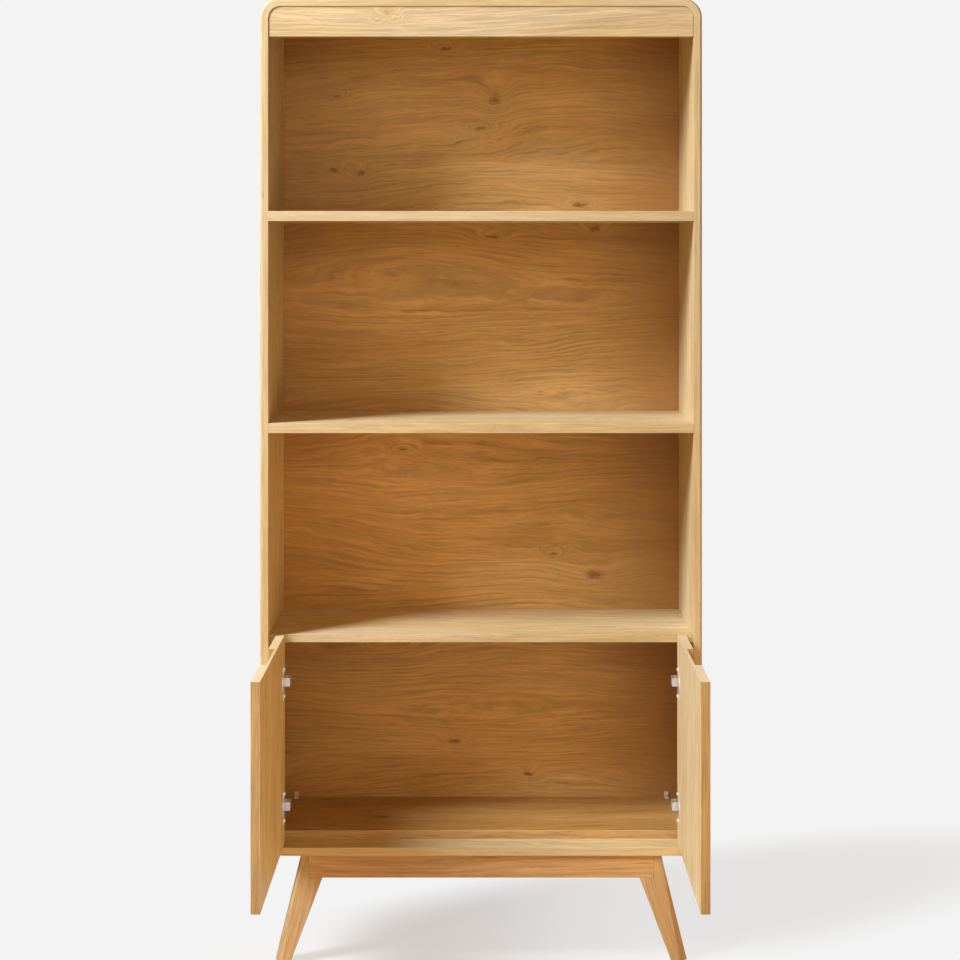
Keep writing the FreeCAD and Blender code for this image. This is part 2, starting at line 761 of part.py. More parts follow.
def make_cups():
    """Steel hinge cups with their flanges, pins and screws, on the open doors."""
    for side, sign in SIDES.items():
        cups, pins, screws = [], [], []
        across = f"{-sign} * cup_offset"
        for level in ("lower_hinge", "upper_hinge"):
            mark = f"{side}_{level}"
            floor = "inner_face - cup_depth"
            shell = peg(f"{mark}_cup_shell", (across, floor, "0"), INWARD, "cup_depth", "cup_radius",
                        CUP_SIDES)
            rim = peg(f"{mark}_rim", (across, "inner_face", "0"), INWARD, "flange_thickness",
                      "cup_radius + flange_rim", CUP_SIDES)
            ears = box(f"{mark}_ears", (f"{across} - flange_width / 2", f"{across} + flange_width / 2"),
                       ("inner_face", "inner_face + flange_thickness"),
                       ("-flange_height / 2", "flange_height / 2"))
            hollow = peg(f"{mark}_hollow", (across, f"{floor} + cup_wall", "0"), INWARD,
                         "cup_depth + flange_thickness", "cup_radius - cup_wall", CUP_SIDES)
            pin_bore = peg(f"{mark}_pin_bore", ("0", "0", "-cup_radius"), UP, "cup_radius * 2",
                           f"(pin_radius + pin_seat_play) * {CORNER_SHARE}")
            tools = [union(f"{mark}_hollows", [hollow, pin_bore])]
            for step in "-+":
                face = "inner_face + flange_thickness"
                place = (across, face, f"{step} cup_screw_spacing / 2")
                item = screw(f"{mark}_cup_screw_{len(screws)}", place, OUTWARD, "screw_length")
                hole = screw_hole(f"{mark}_cup_screw_hole_{len(screws)}", place, OUTWARD, "screw_length")
                screws.append(at_pin(item, sign, level))
                tools.append(hole)
            cup = cut(f"{mark}_cup", union(f"{mark}_cup_whole", [shell, rim, ears]), tools)
            cups.append(at_pin(cup, sign, level))
            pin = rod(f"{mark}_pin", ("0", "0", "-pin_half"), UP, "pin_half * 2", "pin_radius")
            pins.append(at_pin(group(f"{mark}_pin_place", [pin]), sign, level))
        keep(group(f"{side}_hinge_cups", cups))
        keep(group(f"{side}_hinge_pins", pins))
        keep(group(f"{side}_cup_screws", screws))


def make_arms():
    """Cranked hinge arms that reach round the door's edge to the pin in the cup."""
    lever_low = "pin_inward - arm_thickness / 2"
    lever_high = "pin_inward + arm_thickness / 2"
    stem = "pin_across + arm_reach"
    crank = [("pin_across", lever_low), (stem, lever_low),
             (stem, "arm_return_inward + arm_thickness"),
             ("arm_rise + arm_thickness", "arm_return_inward + arm_thickness"),
             ("arm_rise + arm_thickness", "arm_end_inward"), ("arm_rise", "arm_end_inward"),
             ("arm_rise", "arm_return_inward"), (f"{stem} - arm_thickness", "arm_return_inward"),
             (f"{stem} - arm_thickness", lever_high), ("pin_across", lever_high)]
    for side, sign in SIDES.items():
        arms = []
        pin_place = (from_wall(sign, "pin_across"), "front + pin_inward")
        for level in ("lower_hinge", "upper_hinge"):
            mark = f"{side}_{level}"
            body = new_body(f"{mark}_arm")
            foot = f"{level} - arm_height / 2"
            profile = sketch_on(body, "XY_Plane", f"{mark}_arm_profile", foot)
            draw_outline(profile, [(from_wall(sign, across), f"front + {inward}")
                                   for across, inward in crank])
            pad(body, profile, "arm_height")
            eye = sketch_on(body, "XY_Plane", f"{mark}_arm_eye", foot)
            draw_circles(eye, [(*pin_place, "pin_radius + pin_play + arm_eye_wall")])
            pad(body, eye, "arm_height")
            pin_bore = sketch_on(body, "XY_Plane", f"{mark}_arm_bore", foot)
            draw_circles(pin_bore, [(*pin_place, "pin_radius + pin_play")])
            pocket(body, pin_bore, "arm_height", reversed_way=True)
            arms.append(body)
        keep(group(f"{side}_hinge_arms", arms))


def make_plates():
    """Mounting plates screwed to the sides, each with a rib that carries its arm."""
    cuts = {side: [] for side in SIDES}
    screws = []
    for side, sign in SIDES.items():
        plates = []
        for level in ("lower_hinge", "upper_hinge"):
            mark = f"{side}_{level}_plate"
            line = "front + plate_line_inward"
            wing = box(f"{mark}_wing", span(sign, "inner_half - plate_thickness", "inner_half"),
                       (f"{line} - plate_wing_width / 2", f"{line} + plate_wing_width / 2"),
                       (f"{level} - plate_wing_height / 2", f"{level} + plate_wing_height / 2"))
            rib = box(f"{mark}_rib", span(sign, "inner_half - arm_rise", "inner_half"),
                      ("front + arm_return_inward + plate_rib_margin",
                       "front + arm_end_inward - plate_rib_margin"),
                      (f"{level} - plate_rib_width / 2", f"{level} + plate_rib_width / 2"))
            holes = []
            for step in "-+":
                place = (from_wall(sign, "plate_thickness"), line,
                         f"{level} {step} plate_screw_spacing / 2")
                name = f"{mark}_screw_{len(screws)}"
                screws.append(screw(name, place, (sign, 0, 0), "screw_length"))
                for target, store in (("plate", holes), ("side", cuts[side])):
                    store.append(screw_hole(f"{name}_{target}_hole", place, (sign, 0, 0), "screw_length"))
            plates.append(cut(mark, union(f"{mark}_whole", [wing, rib]), holes))
        keep(group(f"{side}_mounting_plates", plates))
    keep(group("plate_screws", screws))
    return cuts


def make_clips():
    """Small angle clips that hold the cupboard's back against its floor board."""
    clips, screws, floor_cuts = [], [], []
    for sign in SIDES.values():
        across = span(sign, "inner_half - clip_side_distance - clip_width",
                      "inner_half - clip_side_distance")
        upright = box(f"clip_upright_{len(clips)}", across, ("back_front - clip_thickness", "back_front"),
                      ("floor_board_top", "floor_board_top + clip_height"))
        foot = box(f"clip_foot_{len(clips)}", across, ("back_front - clip_depth", "back_front"),
                   ("floor_board_top", "floor_board_top + clip_thickness"))
        place = (from_wall(sign, "clip_side_distance + clip_width / 2"),
                 "back_front - (clip_depth + clip_thickness) / 2", "floor_board_top + clip_thickness")
        mark = f"clip_screw_{len(clips)}"
        screws.append(screw(mark, place, DOWN, "screw_length"))
        holes = [screw_hole(f"{mark}_{target}_hole", place, DOWN, "screw_length")
                 for target in ("clip", "floor")]
        floor_cuts.append(holes[1])
        clips.append(cut(f"clip_{len(clips)}", union(f"clip_whole_{len(clips)}", [upright, foot]),
                         holes[:1]))
    keep(group("back_corner_clips", clips))
    keep(group("clip_screws", screws))
    return floor_cuts


def check_document():
    """Stop before anything is written if an object failed or a sub-part is no valid solid."""
    document.recompute()
    for item in document.Objects:
        if {"Invalid", "Error"} & set(item.State):
            raise RuntimeError(f"{item.Label} failed: {item.State}")
    for item in subparts:
        shape = item.Shape
        if shape.isNull() or not shape.isValid() or not shape.Solids:
            raise RuntimeError(f"{item.Label} is not a valid solid")


def export_subparts():
    os.makedirs("parts", exist_ok=True)
    for item in subparts:
        item.Shape.exportStep(os.path.join("parts", f"{item.Label}.step"))
        print(item.Label, len(item.Shape.Solids), "solids")


cam_cuts = make_cams()
dowel_cuts = make_dowels()
plate_cuts = make_plates()
clip_cuts = make_clips()
base_cuts = make_rails()
make_backs()
make_horizontal_boards(cam_cuts, base_cuts, clip_cuts)
make_sides(cam_cuts, dowel_cuts, plate_cuts)
make_top(dowel_cuts)
make_fascia(dowel_cuts)
apron_screws = make_legs()
make_aprons(apron_screws)
make_glides()
make_doors()
make_cups()
make_arms()
check_document()
export_subparts()
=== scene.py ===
import json
import math

import bmesh
import bpy
import numpy as np
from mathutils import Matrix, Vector


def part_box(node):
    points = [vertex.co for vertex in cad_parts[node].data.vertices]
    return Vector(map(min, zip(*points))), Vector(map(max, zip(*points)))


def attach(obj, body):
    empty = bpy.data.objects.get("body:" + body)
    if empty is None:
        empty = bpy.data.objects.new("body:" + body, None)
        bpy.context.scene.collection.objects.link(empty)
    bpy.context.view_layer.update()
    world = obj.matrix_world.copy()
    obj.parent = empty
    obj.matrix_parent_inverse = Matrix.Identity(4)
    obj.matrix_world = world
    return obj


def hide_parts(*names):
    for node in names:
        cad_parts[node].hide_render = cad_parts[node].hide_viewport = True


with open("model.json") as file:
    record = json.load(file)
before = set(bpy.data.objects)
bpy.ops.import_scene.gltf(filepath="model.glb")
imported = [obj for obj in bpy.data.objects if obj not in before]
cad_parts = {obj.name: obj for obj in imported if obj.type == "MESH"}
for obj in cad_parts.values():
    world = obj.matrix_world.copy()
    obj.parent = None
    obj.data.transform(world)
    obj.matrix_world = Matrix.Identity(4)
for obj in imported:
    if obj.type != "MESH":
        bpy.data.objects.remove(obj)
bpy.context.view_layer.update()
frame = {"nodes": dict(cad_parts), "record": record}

NODES = frame["nodes"]
SLOTS = {item["node"]: item["material_slot"] for item in frame["record"]["subparts"]}
BODIES = {node: body for body, members in frame["record"]["behaviour"]["bodies"].items()
          for node in members}

# Camera that matches the photograph: its frame and places in it in pixels, the rest in metres
FRAME_PX = 960
HORIZON_PX = 249.7
MIDDLE_PX = 486
FRONT_PX_PER_M = 552.7
CAMERA_DISTANCE = 3.47
CAMERA_SIDE = 0.009
CAMERA_HEIGHT = 1.294
SENSOR_MM = 36

# Studio lamps: a soft key to the upper left and two weak warm fills
KEY_PLACE = Vector((-3.0, -1.75, 3.85))
KEY_SIZE = (1.1, 2.2)
KEY_WATTS = 300
KEY_COLOUR = (0.96, 1.0, 1.08)
SIDE_FILL_PLACE = Vector((2.0, -1.4, 0.3))
SIDE_FILL_TARGET = Vector((-0.2, -0.1, 0.15))
SIDE_FILL_SPREAD = math.radians(50)
SIDE_FILL_WATTS = 2.6
SIDE_FILL_COLOUR = (1.0, 0.58, 0.25)
FRONT_FILL_PLACE = Vector((0.0, -2.9, 2.1))
FRONT_FILL_WATTS = 13
FRONT_FILL_COLOUR = (1.0, 0.72, 0.42)
FILL_SIZE = (0.9, 0.9)
LAMP_TARGET = Vector((0, 0.15, 0.85))

# Surroundings: the warm light from all round, and what the camera sees behind the object
AMBIENT_COLOUR = (1.0, 0.42, 0.10)
AMBIENT_STRENGTH = 0.17
BACKDROP = (0.896, 0.896, 0.896)

# Floor: its colour as seen and as it throws light back, and how far it fades into the backdrop,
# between two places across
FLOOR_COLOUR = (0.84, 0.84, 0.84)
FLOOR_BOUNCE = (0.56, 0.36, 0.16)
FLOOR_ROUGHNESS = 0.9
FLOOR_HALF = 14.0
FLOOR_LINES = 29
FLOOR_BLEND = (0.62, 0.84)
FLOOR_BLEND_SPAN = (-0.15, 0.35)

# The part of the floor that shows the shadow: an oval that leans back to the right, in metres
SHADOW_CENTRE = (0.35, 0.0, 0.0)
SHADOW_START = 0.18
SHADOW_LEAN = 0.45
SHADOW_STRETCH = 2.6
SHADOW_SPAN = (0.50, 1.05)

# Softened arrises: radius in metres, segments and the least angle and length that count
ARRIS = 0.0007
LEG_ARRIS = 0.0015
ARRIS_SEGMENTS = 2
ARRIS_PROFILE = 0.5
ARRIS_ANGLE = math.radians(30)
ARRIS_LENGTH = 0.012
MERGE = 1e-6
FLAT_ANGLE = math.radians(0.5)

# Linear colours of the wood's light fibre, its warm patches and its dark grain lines
OAK_TONES = {
    "pale": ((0.72, 0.59, 0.35), (0.68, 0.52, 0.26), (0.47, 0.29, 0.11)),
    "warm": ((0.66, 0.445, 0.215), (0.59, 0.37, 0.155), (0.36, 0.185, 0.062)),
    "deep": ((0.79, 0.52, 0.22), (0.69, 0.425, 0.15), (0.36, 0.17, 0.046)),
    "beech": ((0.66, 0.50, 0.32), (0.62, 0.46, 0.28), (0.50, 0.35, 0.20)),
}
KNOT = (0.24, 0.09, 0.026)

# Noises of the oak figure: scales per metre along the grain, across it and into the board
SLOW_WAVE = (1.3, 5.5, 5.5)
QUICK_WAVE = (11.0, 38.0, 38.0)
RING_CROWD = (26.0, 0.0, 0.0)
RING_PATCH = (6.0, 26.0, 26.0)
STREAK = (3.2, 62.0, 62.0)
MEDIUM_FIBRE = (7.0, 165.0, 165.0)
FINE_FIBRE = (15.0, 480.0, 480.0)
PORE = (120.0, 1900.0, 1900.0)
FLECK = (26.0, 400.0, 400.0)
FLECK_CROWD = (4.0, 30.0, 30.0)
WARM_PATCH = (1.6, 11.0, 11.0)

# The stretch of each noise, or of a ring's turn, over which its effect grows from none to full
RING_RISE = (0.88, 1.0)
RING_FALL = (0.36, 0.0)
RING_PATCH_SPAN = (0.40, 0.66)
STREAK_SPAN = (0.52, 0.74)
PORE_SPAN = (0.60, 0.72)
FLECK_SPAN = (0.58, 0.70)
FLECK_CROWD_SPAN = (0.35, 0.65)
WARM_PATCH_SPAN = (0.34, 0.66)
FIBRE_SPAN = (0.34, 0.66)

# How much each effect counts
QUICK_WAVE_SHARE = 0.085
KNOT_PUSH = 0.026
RING_CROWD_TURNS = 2.6
STREAK_SHARE = 0.8
MEDIUM_FIBRE_SHARE = 0.55
FINE_FIBRE_SHARE = 0.45
PORE_IN_RING = 0.7
PORE_ANYWHERE = 0.3
FLECK_LEAST = 0.25
PORE_SHARE = 0.5
FIBRE_DARKER = 0.24
FIBRE_LIGHTER = 0.16
FIBRE_RELIEF = 0.5
PORE_RELIEF = 0.6
RING_RELIEF = 0.35
PORE_GLOSS = 0.18
FIBRE_GLOSS = 0.12
OAK_RELIEF = 0.0006
OAK_SPECULAR = 0.4

# Scattered knots: cells per metre, and distances from a knot's middle in cells
KNOT_CELLS = (2.5, 5.6, 0.0)
KNOT_WOBBLE = (60.0, 120.0, 1.0)
KNOT_WOBBLE_SHARE = 0.05
KNOT_WOBBLE_MIDDLE = 0.025
KNOT_BEND_SPAN = (0.34, 0.0)
KNOT_CORE_SPAN = (0.075, 0.02)

# Knots that stand out on the boards: place across and up in metres, length and height of the core
BACK_KNOTS = [
    (0.027, 1.586, 0.011, 0.013), (-0.003, 1.531, 0.014, 0.004), (-0.284, 1.594, 0.007, 0.003),
    (-0.071, 1.686, 0.010, 0.003), (-0.286, 1.449, 0.010, 0.005), (-0.237, 1.444, 0.008, 0.006),
    (0.192, 1.381, 0.013, 0.004), (0.021, 1.320, 0.012, 0.004), (0.222, 1.335, 0.010, 0.005),
    (-0.052, 0.335, 0.012, 0.004), (0.091, 0.271, 0.009, 0.005), (-0.155, 0.905, 0.009, 0.003),
    (0.140, 0.700, 0.008, 0.004),
]
FASCIA_KNOTS = [
    (-0.170, 1.724, 0.007, 0.004), (-0.155, 1.712, 0.006, 0.003), (-0.188, 1.710, 0.005, 0.003),
]

# The ragged edge of these knots, and the distances from the middle over which the rings swirl
# and the core darkens, in sizes of the core
SPOT_RAGGED = (110.0, 1.0, 210.0)
SPOT_RAGGED_SHARE = 2.4
SPOT_RAGGED_MIDDLE = 1.0
SPOT_SWIRL_SPAN = (5.0, 0.0)
SPOT_CORE_SPAN = (1.6, 0.3)

# Painted shade on the back panels, darker towards each end: from the middle outwards, in metres
PAINTED_SHADE_SPAN = (0.12, 0.40)
PAINTED_SHADE_LEFT = 0.42
PAINTED_SHADE_RIGHT = 0.86

# Metals and plastics: noise scales per metre, the darker clouds and the uneven gloss
DRAWN_STREAK = (900.0, 900.0, 40.0)
CAST_GRAIN = (300.0, 300.0, 300.0)
METAL_CLOUD = (60.0, 60.0, 60.0)
METAL_DARKER = 0.82
METAL_GLOSS = 0.16
METAL_BUMP = 0.08
GRIT = (2600.0, 2600.0, 2600.0)
PLASTIC_CLOUD = (90.0, 90.0, 90.0)
PLASTIC_DARKER = 0.88
PLASTIC_GLOSS = 0.15
PLASTIC_GLOSS_MIDDLE = 0.07
PLASTIC_BUMP = 0.1
CLOUD_SPAN = (0.3, 0.7)
FINE_RELIEF = 0.0002


class Tree:
    """A short way to add and link the nodes of one shader tree."""

    def __init__(self, tree):
        self.tree = tree

    def add(self, kind, **inputs):
        """A node whose input sockets take values, or outputs of other nodes, by name."""
        node = self.tree.nodes.new(kind)
        for name, value in inputs.items():
            self.feed(node.inputs[name.replace("_", " ")], value)
        return node

    def feed(self, socket, value):
        """Link the socket to another node's output, or set it to a value."""
        if isinstance(value, bpy.types.NodeSocket):
            self.tree.links.new(value, socket)
        else:
            socket.default_value = value

    def math(self, operation, *values):
        node = self.tree.nodes.new("ShaderNodeMath")
        node.operation = operation
        for socket, value in zip(node.inputs, values):
            self.feed(socket, value)
        return node.outputs["Value"]

    def vector(self, operation, *values, result="Vector"):
        node = self.tree.nodes.new("ShaderNodeVectorMath")
        node.operation = operation
        for socket, value in zip(node.inputs, values):
            self.feed(socket, value)
        return node.outputs[result]

    def stretch(self, value, low, high, start=0.0, end=1.0):
        """The value moved from one range to another with soft ends."""
        node = self.tree.nodes.new("ShaderNodeMapRange")
        node.interpolation_type = "SMOOTHSTEP"
        for socket, part in zip(node.inputs, (value, low, high, start, end)):
            self.feed(socket, part)
        return node.outputs["Result"]

    def mix(self, share, first, second, blend="MIX"):
        """Two colours mixed, or blended in another way."""
        node = self.tree.nodes.new("ShaderNodeMix")
        node.data_type = "RGBA"
        node.blend_type = blend
        self.feed(node.inputs[0], share)
        for socket, value in zip(node.inputs[6:8], (first, second)):
            self.feed(socket, (*value, 1.0) if isinstance(value, tuple) else value)
        return node.outputs[2]

    def mix_shaders(self, share, first, second):
        node = self.add("ShaderNodeMixShader")
        for socket, value in zip(node.inputs, (share, first, second)):
            self.feed(socket, value)
        return node.outputs["Shader"]

    def noise(self, place, scales, detail=2.0, roughness=0.5):
        """Noise at its own scale along the grain, across it and into the board."""
        scaled = self.vector("MULTIPLY", place, scales)
        node = self.add("ShaderNodeTexNoise", Vector=scaled, Scale=1.0, Detail=detail,
                        Roughness=roughness)
        return node.outputs["Fac"]

    def split(self, vector):
        """The X, Y and Z of a vector."""
        return self.add("ShaderNodeSeparateXYZ", Vector=vector).outputs

    def join(self, **parts):
        """A vector from its X, Y and Z, nought where one isn't given."""
        return self.add("ShaderNodeCombineXYZ", **parts).outputs["Vector"]

    def object_place(self):
        return self.add("ShaderNodeTexCoord").outputs["Object"]

    def seen(self):
        """One where the camera or gloss looks, and nought for light on its way to a surface."""
        path = self.add("ShaderNodeLightPath").outputs
        return self.math("MAXIMUM", path["Is Camera Ray"],
                         self.math("MAXIMUM", path["Is Glossy Ray"], path["Is Transmission Ray"]))


def new_group(name, inputs, outputs):
    """An empty node group. Its sockets are given by name, kind and, where it counts, value."""
    group = bpy.data.node_groups.new(name, "ShaderNodeTree")
    for label, kind, *value in inputs:
        socket = group.interface.new_socket(name=label, in_out="INPUT",
                                            socket_type=f"NodeSocket{kind}")
        if value:
            socket.default_value = value[0]
    for label, kind in outputs:
        group.interface.new_socket(name=label, in_out="OUTPUT", socket_type=f"NodeSocket{kind}")
    tree = Tree(group)
    return group, tree, tree.add("NodeGroupInput").outputs, tree.add("NodeGroupOutput").inputs


def build_knots():
    """Scattered knots: how far the rings bend round them and how dark they are."""
    group, tree, given, result = new_group(
        "oak_knots", [("Grain", "Vector"), ("Amount", "Float", 0.5)],
        [("Bend", "Float"), ("Dark", "Float")])
    place = tree.vector("MULTIPLY", given["Grain"], KNOT_CELLS)
    cells = tree.add("ShaderNodeTexVoronoi", Vector=place, Scale=1.0).outputs
    lot = tree.add("ShaderNodeSeparateColor", Color=cells["Color"]).outputs["Red"]
    kept = tree.math("LESS_THAN", lot, given["Amount"])
    wobble = tree.math("MULTIPLY", tree.noise(given["Grain"], KNOT_WOBBLE), KNOT_WOBBLE_SHARE)
    smooth = tree.math("SUBTRACT", cells["Distance"], KNOT_WOBBLE_MIDDLE)
    distance = tree.math("ADD", smooth, wobble)
    near = tree.stretch(distance, *KNOT_BEND_SPAN)
    core = tree.stretch(distance, *KNOT_CORE_SPAN)
    tree.feed(result["Bend"], tree.math("MULTIPLY", near, kept))
    tree.feed(result["Dark"], tree.math("MULTIPLY", core, kept))
    return group


def add_line(tree, grain, figure, swirl, knot_bend):
    """Place across the grain after slow and quick waves and the knots have bent it."""
    slow = tree.math("SUBTRACT", tree.noise(grain, SLOW_WAVE, 1.5), 0.5)
    quick = tree.math("SUBTRACT", tree.noise(grain, QUICK_WAVE, 3.0, 0.55), 0.5)
    slow = tree.math("MULTIPLY", slow, figure)
    quick = tree.math("MULTIPLY", quick, tree.math("MULTIPLY", figure, QUICK_WAVE_SHARE))
    bent = tree.math("MULTIPLY", tree.math("ADD", knot_bend, swirl), KNOT_PUSH)
    across = tree.math("ADD", tree.split(grain)["Y"], slow)
    return tree.math("ADD", across, tree.math("ADD", quick, bent))


def add_rings(tree, grain, flow, line, ring_width):
    """Growth rings, each a slow rise and a quick fall, that come and go, with streaks."""
    crowd = tree.noise(tree.join(X=line), RING_CROWD, 2.0)
    uneven = tree.math("MULTIPLY", crowd, RING_CROWD_TURNS)
    turns = tree.math("ADD", tree.math("DIVIDE", line, ring_width), uneven)
    turn = tree.math("FRACT", turns)
    rise = tree.stretch(turn, *RING_RISE)
    fall = tree.stretch(turn, *RING_FALL)
    strength = tree.stretch(tree.noise(grain, RING_PATCH, 3.0), *RING_PATCH_SPAN)
    ring = tree.math("MULTIPLY", tree.math("MAXIMUM", rise, fall), strength)
    streak = tree.stretch(tree.noise(flow, STREAK, 4.0, 0.6), *STREAK_SPAN)
    return tree.math("MAXIMUM", ring, tree.math("MULTIPLY", streak, STREAK_SHARE))


def add_pores(tree, grain, ring):
    """Short dark pores, crowded in the rings, and longer flecks."""
    dash = tree.stretch(tree.noise(grain, PORE, 1.0), *PORE_SPAN)
    often = tree.math("ADD", tree.math("MULTIPLY", ring, PORE_IN_RING), PORE_ANYWHERE)
    fleck = tree.stretch(tree.noise(grain, FLECK, 2.0, 0.6), *FLECK_SPAN)
    crowd = tree.stretch(tree.noise(grain, FLECK_CROWD, 1.0), *FLECK_CROWD_SPAN, FLECK_LEAST)
    return tree.math("MAXIMUM", tree.math("MULTIPLY", dash, often),
                     tree.math("MULTIPLY", fleck, crowd))


def build_oak(knots):
    """Oak figure: growth rings bent by slow noise, fibres, pores and warm patches."""
    group, tree, given, result = new_group(
        "oak_figure",
        [("Grain", "Vector"), ("Ring Width", "Float", 0.009), ("Figure", "Float", 0.22),
         ("Knots", "Float", 0.5), ("Swirl", "Float", 0.0)],
        [("Ring", "Float"), ("Fibre", "Float"), ("Pore", "Float"), ("Patch", "Float"),
         ("Knot", "Float"), ("Height", "Float")])
    grain = given["Grain"]
    knot = tree.add("ShaderNodeGroup")
    knot.node_tree = knots
    tree.feed(knot.inputs["Grain"], grain)
    tree.feed(knot.inputs["Amount"], given["Knots"])
    parts = tree.split(grain)
    line = add_line(tree, grain, given["Figure"], given["Swirl"], knot.outputs["Bend"])
    flow = tree.join(X=parts["X"], Y=line, Z=parts["Z"])
    ring = add_rings(tree, grain, flow, line, given["Ring Width"])
    medium = tree.math("MULTIPLY", tree.noise(flow, MEDIUM_FIBRE, 3.0, 0.6), MEDIUM_FIBRE_SHARE)
    fine = tree.math("MULTIPLY", tree.noise(flow, FINE_FIBRE, 3.0, 0.6), FINE_FIBRE_SHARE)
    fibre = tree.math("ADD", medium, fine)
    pore = add_pores(tree, grain, ring)
    patch = tree.stretch(tree.noise(flow, WARM_PATCH, 3.0), *WARM_PATCH_SPAN)
    sunk = tree.math("ADD", tree.math("MULTIPLY", pore, PORE_RELIEF),
                     tree.math("MULTIPLY", ring, RING_RELIEF))
    height = tree.math("SUBTRACT", tree.math("MULTIPLY", fibre, FIBRE_RELIEF), sunk)
    for name, value in (("Ring", ring), ("Fibre", fibre), ("Pore", pore), ("Patch", patch),
                        ("Knot", knot.outputs["Dark"]), ("Height", height)):
        tree.feed(result[name], value)
    return group


def new_material(name):
    material = bpy.data.materials.new(name)
    material.use_nodes = True
    tree = Tree(material.node_tree)
    return material, tree, material.node_tree.nodes["Principled BSDF"]


def add_relief(tree, shader, height, strength, distance):
    relief = tree.add("ShaderNodeBump", Strength=strength, Distance=distance, Height=height)
    tree.feed(shader.inputs["Normal"], relief.outputs["Normal"])


def add_spots(tree, spots):
    """Knots at given places: how strongly the rings swirl round them and how dark they are."""
    object_place = tree.object_place()
    place = tree.split(object_place)
    ragged = tree.math("MULTIPLY_ADD", tree.noise(object_place, SPOT_RAGGED, 2.0),
                       SPOT_RAGGED_SHARE, -SPOT_RAGGED_MIDDLE)
    swirl, dark = 0.0, 0.0
    for across, up, length, height in spots:
        aside = tree.math("DIVIDE", tree.math("SUBTRACT", place["X"], across), length)
        above = tree.math("DIVIDE", tree.math("SUBTRACT", place["Z"], up), height)
        away = tree.vector("LENGTH", tree.join(X=aside, Y=above), result="Value")
        core = tree.stretch(tree.math("ADD", away, ragged), *SPOT_CORE_SPAN)
        swirl = tree.math("MAXIMUM", swirl, tree.stretch(away, *SPOT_SWIRL_SPAN))
        dark = tree.math("MAXIMUM", dark, core)
    return swirl, dark


def paint_end_shade(tree, colour, dark):
    """The colour with painted shade, darker towards both ends of the board."""
    across = tree.split(tree.object_place())["X"]
    right = tree.stretch(across, *PAINTED_SHADE_SPAN, 0.0, PAINTED_SHADE_RIGHT)
    left = tree.stretch(tree.math("MULTIPLY", across, -1.0), *PAINTED_SHADE_SPAN, 0.0, PAINTED_SHADE_LEFT)
    return tree.mix(tree.math("ADD", right, left), colour, dark)


def oak_material(name, figure, tone="pale", tint=(1.0, 1.0, 1.0), ring_width=0.011,
                 ring_strength=0.45, bend=0.22, knots=0.45, roughness=0.46, bump=0.12,
                 spots=(), spot_depth=0.0, contrast=1.0, shade_painted_at_ends=False):
    """Satin-lacquered oak whose figure follows the piece's own grain coordinates."""
    material, tree, shader = new_material(name)
    grain = tree.add("ShaderNodeAttribute")
    grain.attribute_name = "grain"
    group = tree.add("ShaderNodeGroup")
    group.node_tree = figure
    swirl, dark_spot = add_spots(tree, spots) if spots else (0.0, 0.0)
    for label, value in (("Grain", grain.outputs["Vector"]), ("Ring Width", ring_width),
                         ("Figure", bend), ("Knots", knots), ("Swirl", swirl)):
        tree.feed(group.inputs[label], value)
    oak = group.outputs
    light, patch, dark = OAK_TONES[tone]
    colour = tree.mix(oak["Patch"], light, patch)
    colour = tree.mix(tree.math("MULTIPLY", oak["Ring"], ring_strength), colour, dark)
    fibre = tree.stretch(oak["Fibre"], *FIBRE_SPAN, 1 - FIBRE_DARKER * contrast,
                         1 + FIBRE_LIGHTER * contrast)
    colour = tree.mix(1.0, colour, tree.join(X=fibre, Y=fibre, Z=fibre), "MULTIPLY")
    colour = tree.mix(tree.math("MULTIPLY", oak["Pore"], PORE_SHARE), colour, dark)
    # Painted shade: the board darkens towards its ends, more at the right
    if shade_painted_at_ends:
        colour = paint_end_shade(tree, colour, dark)
    colour = tree.mix(oak["Knot"], colour, KNOT)
    if spots:
        colour = tree.mix(tree.math("MULTIPLY", dark_spot, spot_depth), colour, KNOT)
    colour = tree.mix(1.0, colour, tint, "MULTIPLY")
    tree.feed(shader.inputs["Base Color"], colour)
    fibre_gloss = tree.math("MULTIPLY_ADD", oak["Fibre"], FIBRE_GLOSS, roughness - FIBRE_GLOSS / 2)
    gloss = tree.math("ADD", tree.math("MULTIPLY", oak["Pore"], PORE_GLOSS), fibre_gloss)
    tree.feed(shader.inputs["Roughness"], gloss)
    add_relief(tree, shader, oak["Height"], bump, OAK_RELIEF)
    shader.inputs["Specular IOR Level"].default_value = OAK_SPECULAR
    return material


def metal_material(name, colour, roughness, streak=DRAWN_STREAK):
    """Plated metal with faint drawn streaks and uneven gloss."""
    material, tree, shader = new_material(name)
    place = tree.object_place()
    streaks = tree.noise(place, streak, 3.0)
    cloud = tree.stretch(tree.noise(place, METAL_CLOUD, 3.0), *CLOUD_SPAN)
    darker = tuple(part * METAL_DARKER for part in colour)
    tree.feed(shader.inputs["Base Color"], tree.mix(cloud, colour, darker))
    gloss = tree.math("MULTIPLY_ADD", streaks, METAL_GLOSS, roughness - METAL_GLOSS / 2)
    tree.feed(shader.inputs["Roughness"], gloss)
    add_relief(tree, shader, streaks, METAL_BUMP, FINE_RELIEF)
    shader.inputs["Metallic"].default_value = 1.0
    return material


def plastic_material(name, colour, roughness):
    """Moulded plastic with a fine spark-eroded texture."""
    material, tree, shader = new_material(name)
    place = tree.object_place()
    grit = tree.noise(place, GRIT, 2.0)
    cloud = tree.stretch(tree.noise(place, PLASTIC_CLOUD, 2.0), *CLOUD_SPAN)
    darker = tuple(part * PLASTIC_DARKER for part in colour)
    tree.feed(shader.inputs["Base Color"], tree.mix(cloud, colour, darker))
    gloss = tree.math("MULTIPLY_ADD", grit, PLASTIC_GLOSS, roughness - PLASTIC_GLOSS_MIDDLE)
    tree.feed(shader.inputs["Roughness"], gloss)
    add_relief(tree, shader, grit, PLASTIC_BUMP, FINE_RELIEF)
    return material


